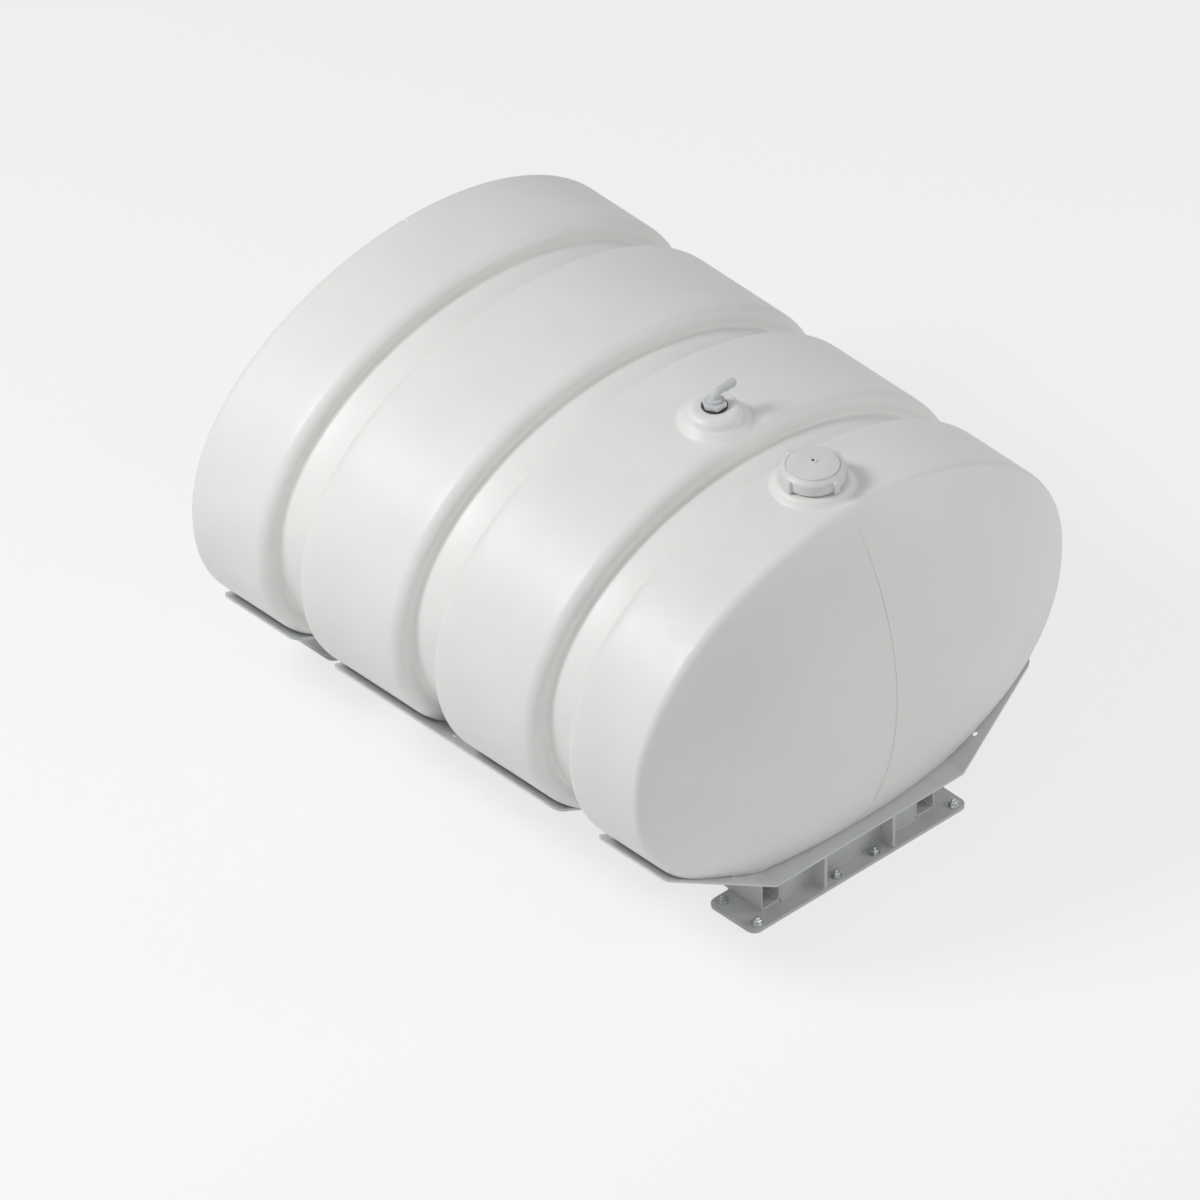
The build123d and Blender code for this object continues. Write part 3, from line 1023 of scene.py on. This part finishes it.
@dataclass
class VentFitting:
    """Hex nut and barbed elbow on the vent boss."""

    stem_radius: float = 0.012
    collar_radius: float = 0.015
    collar_height: float = 0.007
    collar_slope: float = 0.001
    collar_corner: float = 0.0012
    tail_radius: float = 0.009
    bend_radius: float = 0.013
    bore_radius: float = 0.006
    bore_depth: float = 0.03
    barb_count: int = 3
    barb_rise: float = 0.0016
    barb_lead: float = 0.0006
    barb_corner: float = 0.0006
    barb_pitch: float = 0.009
    nut_chamfer: float = 0.0012
    nut_chamfer_share: float = 0.9
    segments: int = 40

    def __post_init__(self) -> None:
        """Read the fitting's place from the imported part."""
        self.nut_low, self.nut_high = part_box("vent_nut")
        elbow_low, elbow_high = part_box("vent_elbow")
        self.reach = elbow_high.x
        self.stem_foot = elbow_low.z
        self.y = (self.nut_low.y + self.nut_high.y) / 2
        self.tail_level = elbow_high.z - self.tail_radius - self.barb_rise

    def stations(self) -> list[tuple[Vector, Vector, float]]:
        """Places along the elbow's bent axis, from the foot of the stem to the end of the bore.

        Returns:
            Centres, headings and radii.
        """
        up, along = Vector((0, 0, 1)), Vector((1, 0, 0))
        seat, tail = self.nut_high.z, self.tail_radius
        collar_top = seat + self.collar_height
        body = [
            (tail, self.stem_foot), (self.stem_radius, self.stem_foot), (self.stem_radius, seat),
            (self.collar_radius, seat), (self.collar_radius, collar_top),
            (tail, collar_top + self.collar_slope),
        ]
        found = [
            (Vector((0, self.y, level)), up, radius)
            for radius, level in rounded(body, self.collar_corner)
        ]
        bend, bend_start = self.bend_radius, self.tail_level - self.bend_radius
        for across, level in arc_points((bend, bend_start), bend, math.pi, math.pi / 2, steps=12):
            lean = math.acos(min(1.0, max(-1.0, (level - bend_start) / bend)))
            heading = up.lerp(along, 1 - lean / (math.pi / 2)).normalized()
            found.append((Vector((across, self.y, level)), heading, tail))
        barb_start = self.reach - self.barb_count * self.barb_pitch
        barbs: list[Point2] = [(tail, barb_start)]
        for barb in range(self.barb_count):
            place = barb_start + barb * self.barb_pitch
            barbs.append((tail + self.barb_rise, place + self.barb_lead))
            barbs.append((tail, place + self.barb_pitch))
        barbs += [(self.bore_radius, self.reach), (self.bore_radius, self.reach - self.bore_depth)]
        for radius, place in rounded(barbs, self.barb_corner):
            found.append((Vector((place, self.y, self.tail_level)), along, radius))
        return found

    def elbow(self) -> Mesh:
        """The elbow as rings of changing radius along its bent axis.

        Returns:
            The closed mesh with an open bore.
        """
        stations, side = self.stations(), Vector((0, 1, 0))
        rings = []
        for centre, heading, radius in stations:
            top = heading.cross(side)
            rings.append([
                centre + radius * (side * math.cos(a) + top * math.sin(a))
                for a in turns(self.segments)
            ])
        shape = bmesh.new()
        skin_rings(shape, [[stations[0][0]], *rings, [stations[-1][0]]])
        return mesh_from("vent_elbow_body", shape, sharp=35)

    def nut(self) -> Mesh:
        """A hex nut with its corners turned off.

        Returns:
            The nut's mesh.
        """
        corner = (self.nut_high.x - self.nut_low.x) / 2
        height = self.nut_high.z - self.nut_low.z
        turned, chamfer = self.nut_chamfer_share * corner, self.nut_chamfer
        outline = [
            (0.0, 0.0), (turned, 0.0), (corner, chamfer), (corner, height - chamfer),
            (turned, height), (0.0, height),
        ]
        base = Vector((0, self.y, self.nut_low.z))
        return lathe("vent_hex_nut", base, (outline, HEX_SIDES), sharp=20)

    def dress(self, nodes: Nodes) -> None:
        """Paint the washer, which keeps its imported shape."""
        paint(nodes["vent_washer"].data, BLACK_RUBBER_AND_SHADE)

    def build(self, nodes: Nodes) -> list[Object]:
        """Make the nut and the elbow.

        Args:
            nodes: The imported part's objects by name.

        Returns:
            The pieces.
        """
        self.dress(nodes)
        nut = new_piece(self.nut(), VENT_PLASTIC)
        elbow = new_piece(self.elbow(), VENT_PLASTIC)
        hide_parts("vent_nut")
        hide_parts("vent_elbow")
        for piece in (nut, elbow):
            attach(piece, BODY)
        return [nut, elbow]


@dataclass
class Cradle:
    """Saddles, rails and pedestals, with the welds and anchor bolts that hold them."""

    edge: float = 0.0011
    edge_angle: float = 40.0
    merge_distance: float = 1e-5
    bead_radius: float = 0.0042
    bead_spacing: float = 0.0025
    bead_ripple: float = 0.0022
    rail_bead_inset: float = 0.006
    anchor_row: float = 0.102
    outer_anchors: float = 0.560
    inner_anchors: float = 0.108
    bolt_across: float = 0.019
    head_height: float = 0.0085
    head_chamfer: float = 0.001
    head_chamfer_share: float = 0.88
    stub_height: float = 0.0048
    stub_share: float = 0.5
    tip_chamfer: float = 0.0008
    tip_share: float = 0.42
    washer_radius: float = 0.0135
    washer_height: float = 0.0025
    washer_sides: int = 32
    saddles: tuple[str, ...] = ("front_saddle", "middle_saddle", "rear_saddle")
    frame_nodes: tuple[str, ...] = (
        "left_rail", "right_rail", "front_cross_member", "rear_cross_member",
        "front_gussets", "rear_gussets",
    )
    base_plates: tuple[str, ...] = ("front_base_plate", "rear_base_plate")
    rails: tuple[str, ...] = ("left_rail", "right_rail")
    pedestals: tuple[str, ...] = ("front", "rear")
    anchor_turns: tuple[float, ...] = (0.1, 0.7, 0.35, 0.9, 0.55, 0.2, 0.8, 0.45)

    def soften(self, node: Object) -> None:
        """Give a plain steel node its small edge radius.

        Args:
            node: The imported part's object.
        """
        weld = node.modifiers.new("merge_points", "WELD")
        weld.merge_threshold = self.merge_distance
        bevel = node.modifiers.new("edge_radius", "BEVEL")
        bevel.width = self.edge
        bevel.segments = 2
        bevel.limit_method = "ANGLE"
        bevel.angle_limit = math.radians(self.edge_angle)
        bevel.use_clamp_overlap = True

    def dress(self, nodes: Nodes) -> None:
        """Paint the steel nodes and round their edges, but for the drilled base plates.

        Args:
            nodes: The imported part's objects by name.
        """
        for name in self.saddles:
            paint(nodes[name].data, POWDER_COAT)
        for name in self.frame_nodes + self.base_plates:
            paint(nodes[name].data, FRAME_COAT)
        for name in self.saddles + self.frame_nodes:
            self.soften(nodes[name])

    def bolt(self) -> Mesh:
        """One anchor bolt head on its washer, standing on Z = 0.

        Returns:
            The mesh of washer, head and stub.
        """
        foot, rim = self.washer_height, self.washer_radius
        washer = [(0.0, 0.0), (rim, 0.0), (rim, foot), (0.0, foot)]
        corner = self.bolt_across / math.sqrt(3)
        top, stub = foot + self.head_height, corner * self.stub_share
        tip = top + self.stub_height
        head = [
            (0.0, foot), (corner, foot), (corner, top - self.head_chamfer),
            (corner * self.head_chamfer_share, top), (stub, top), (stub, tip - self.tip_chamfer),
            (corner * self.tip_share, tip), (0.0, tip),
        ]
        outlines = (washer, self.washer_sides), (head, HEX_SIDES)
        return lathe("anchor_bolt", Vector((0, 0, 0)), *outlines, sharp=25)

    def anchor_places(self) -> list[Place]:
        """Where the anchor bolts stand, with a turn for each.

        Returns:
            Points on the base plates and turns.
        """
        places = []
        for plate in self.base_plates:
            low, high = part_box(plate)
            middle = (low.y + high.y) / 2
            spots = [
                Vector((side * spacing / 2, middle + row * self.anchor_row / 2, high.z))
                for spacing in (self.outer_anchors, self.inner_anchors)
                for side in (-1, 1)
                for row in (-1, 1)
            ]
            places += list(zip(spots, self.anchor_turns))
        return places

    def weld_paths(self) -> list[tuple[Vector, Vector]]:
        """Lines where the frame's plates are welded together.

        Returns:
            Start and end points of each bead.
        """
        paths = []
        for pedestal in self.pedestals:
            plate_low, plate_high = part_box(f"{pedestal}_base_plate")
            low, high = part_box(f"{pedestal}_cross_member")
            gusset_low, gusset_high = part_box(f"{pedestal}_gussets")
            top = plate_high.z
            for y in (low.y, high.y):
                paths.append((Vector((low.x, y, top)), Vector((high.x, y, top))))
            for face in (gusset_low.x, gusset_high.x):
                for y, edge in ((low.y, gusset_low.y), (high.y, gusset_high.y)):
                    foot = Vector((face, y, top))
                    paths.append((foot, Vector((face, edge, top))))
                    paths.append((foot, Vector((face, y, high.z))))
            for rail in self.rails:
                rail_low, rail_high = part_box(rail)
                start, end = max(plate_low.y, rail_low.y), min(plate_high.y, rail_high.y)
                for x in (rail_low.x + self.rail_bead_inset, rail_high.x - self.rail_bead_inset):
                    paths.append((Vector((x, start, top)), Vector((x, end, top))))
        return paths

    def beads(self) -> Mesh:
        """The weld beads along all their paths.

        Returns:
            The joined mesh.
        """
        curve = bpy.data.curves.new("weld_paths", "CURVE")
        curve.dimensions = "3D"
        for path in self.weld_paths():
            spline = curve.splines.new("POLY")
            spline.points.add(len(path) - 1)
            for point, place in zip(spline.points, path):
                point.co = (*place, 1.0)
        return bead_tree().run("weld_beads", linked("weld_paths", curve), {
            "Radius": self.bead_radius, "Spacing": self.bead_spacing, "Ripple": self.bead_ripple,
            "Finish": WELD.material(),
        })

    def build(self, nodes: Nodes, copies: Workshop) -> list[Object]:
        """Paint the steel and add welds and anchors.

        Args:
            nodes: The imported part's objects by name.
            copies: The copying tree.

        Returns:
            The added pieces.
        """
        self.dress(nodes)
        bolts = stand_copies("anchor_bolts", self.bolt(), self.anchor_places(), ZINC, copies)
        beads = new_piece(self.beads(), WELD)
        for piece in (bolts, beads):
            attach(piece, BODY)
        return [bolts, beads]


@dataclass
class Studio:
    """Pale floor, soft light and the drawing's viewpoint."""

    azimuth: float = -44.0
    elevation: float = 38.7
    picture: float = 1200.0
    metres_per_pixel: float = 0.002053
    anchor_pixel: Point2 = (845.5, 504.0)
    distance: float = 9.0
    view_depth: float = 100.0
    floor_size: float = 60.0
    floor_grey: float = 0.93
    floor_roughness: float = 0.9
    floor_specular: float = 0.1
    backdrop_share: float = 0.70
    world_strength: float = 0.31
    backdrop_strength: float = 0.905
    aim: Point3 = (0.0, 0.0, 0.45)
    lamps: tuple[tuple[str, Point2, float, float, float], ...] = (
        ("key", (-2.9, 1.5), 4.1, 1.4, 112.0),
        ("fill", (3.2, -3.4), 2.2, 2.4, 44.0),
        ("front", (-2.6, -3.6), 3.0, 2.6, 20.0),
    )

    def camera(self, anchor: Vector) -> None:
        """Place a parallel camera so that a known point falls on its pixel.

        Args:
            anchor: The point that the drawing shows at anchor_pixel.
        """
        a, e = math.radians(self.azimuth), math.radians(self.elevation)
        back = Vector((math.sin(a) * math.cos(e), -math.cos(a) * math.cos(e), math.sin(e)))
        right = Vector((math.cos(a), math.sin(a), 0.0))
        up = back.cross(right)
        across = (self.anchor_pixel[0] - self.picture / 2) * self.metres_per_pixel
        above = (self.picture / 2 - self.anchor_pixel[1]) * self.metres_per_pixel
        data = bpy.data.cameras.new("camera")
        data.type = "ORTHO"
        data.ortho_scale = self.picture * self.metres_per_pixel
        data.clip_end = self.view_depth
        camera = linked("camera", data)
        camera.location = anchor - right * across - up * above + back * self.distance
        camera.rotation_mode = "QUATERNION"
        camera.rotation_quaternion = (-back).to_track_quat("-Z", "Y")
        bpy.context.scene.camera = camera

    @staticmethod
    def show(
        graph: Graph, lit: Node, shown: Node, share: float, output: str
    ) -> None:
        """Mix in one shader for the rays that look at it, and light the tank with the other.

        Args:
            graph: The nodes of the floor's material or of the world.
            lit: The shader that all other rays meet.
            shown: The shader that camera, mirrored and transmitted rays see.
            share: How much of it they see.
            output: Name of the output node.
        """
        rays = graph.add("ShaderNodeLightPath").outputs
        seen = rays["Is Camera Ray"]
        for kind in ("Is Glossy Ray", "Is Transmission Ray"):
            seen = graph.math("MAXIMUM", seen, rays[kind])
        blend = graph.add("ShaderNodeMixShader", {
            "Fac": graph.math("MULTIPLY", seen, share), 1: lit.outputs[0], 2: shown.outputs[0],
        })
        graph.feed(graph.tree.nodes[output], {"Surface": blend.outputs[0]})

    def floor(self) -> None:
        """Lay a plain pale floor that shows nearly white and keeps the tank's shadow."""
        shape = bmesh.new()
        bmesh.ops.create_grid(shape, x_segments=1, y_segments=1, size=self.floor_size / 2)
        mesh = bpy.data.meshes.new("floor")
        shape.to_mesh(mesh)
        shape.free()
        material = bpy.data.materials.new("floor_paper")
        material.use_nodes = True
        graph = Graph(material.node_tree)
        paper = graph.tree.nodes["Principled BSDF"]
        graph.feed(paper, {
            "Base Color": (self.floor_grey, self.floor_grey, self.floor_grey, 1.0),
            "Roughness": self.floor_roughness,
            "Specular IOR Level": self.floor_specular,
        })
        white = graph.add("ShaderNodeEmission")
        self.show(graph, paper, white, self.backdrop_share, "Material Output")
        mesh.materials.append(material)
        plane = linked("floor", mesh)

    def world(self) -> None:
        """Even light from all round, in front of a backdrop as pale as the floor."""
        world = bpy.data.worlds.new("studio")
        world.use_nodes = True
        graph = Graph(world.node_tree)
        even = graph.tree.nodes["Background"]
        graph.feed(even, {"Color": WHITE, "Strength": self.world_strength})
        backdrop = graph.add("ShaderNodeBackground", {
            "Color": WHITE, "Strength": self.backdrop_strength,
        })
        self.show(graph, even, backdrop, 1.0, "World Output")
        bpy.context.scene.world = world

    def lamp(self, name: str, place: Point2, height: float, size: float, power: float) -> None:
        """Hang a square soft light that looks at the tank.

        Args:
            name: Name of the light.
            place: Where it hangs, in X and Y.
            height: Its height.
            size: Length of its sides.
            power: Its power in watts.
        """
        data = bpy.data.lights.new(name, "AREA")
        data.size = size
        data.energy = power
        light = linked(name, data)
        light.location = (*place, height)
        light.rotation_mode = "QUATERNION"
        light.rotation_quaternion = (Vector(self.aim) - light.location).to_track_quat("-Z", "Y")

    def build(self, anchor: Vector) -> None:
        """Set up the floor, the light, the world and the camera.

        Args:
            anchor: The point that the drawing shows at anchor_pixel.
        """
        self.floor()
        for lamp in self.lamps:
            self.lamp(*lamp)
        self.world()
        bpy.context.scene.view_settings.view_transform = "Standard"
        self.camera(anchor)


def main() -> None:
    logging.basicConfig(level=logging.INFO)
    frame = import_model()
    nodes = frame["nodes"]
    copies = copies_tree()
    tank = Tank()
    pieces = tank.build()
    pieces += FillerCap().build(nodes, copies)
    pieces += VentFitting().build(nodes)
    pieces += Cradle().build(nodes, copies)
    for piece in pieces:
        LOG.info("made %s with %d faces", piece.name, len(piece.data.polygons))
    Studio().build(Vector((0.0, -tank.half_length, tank.crown)))


if __name__ == "__main__":
    main()
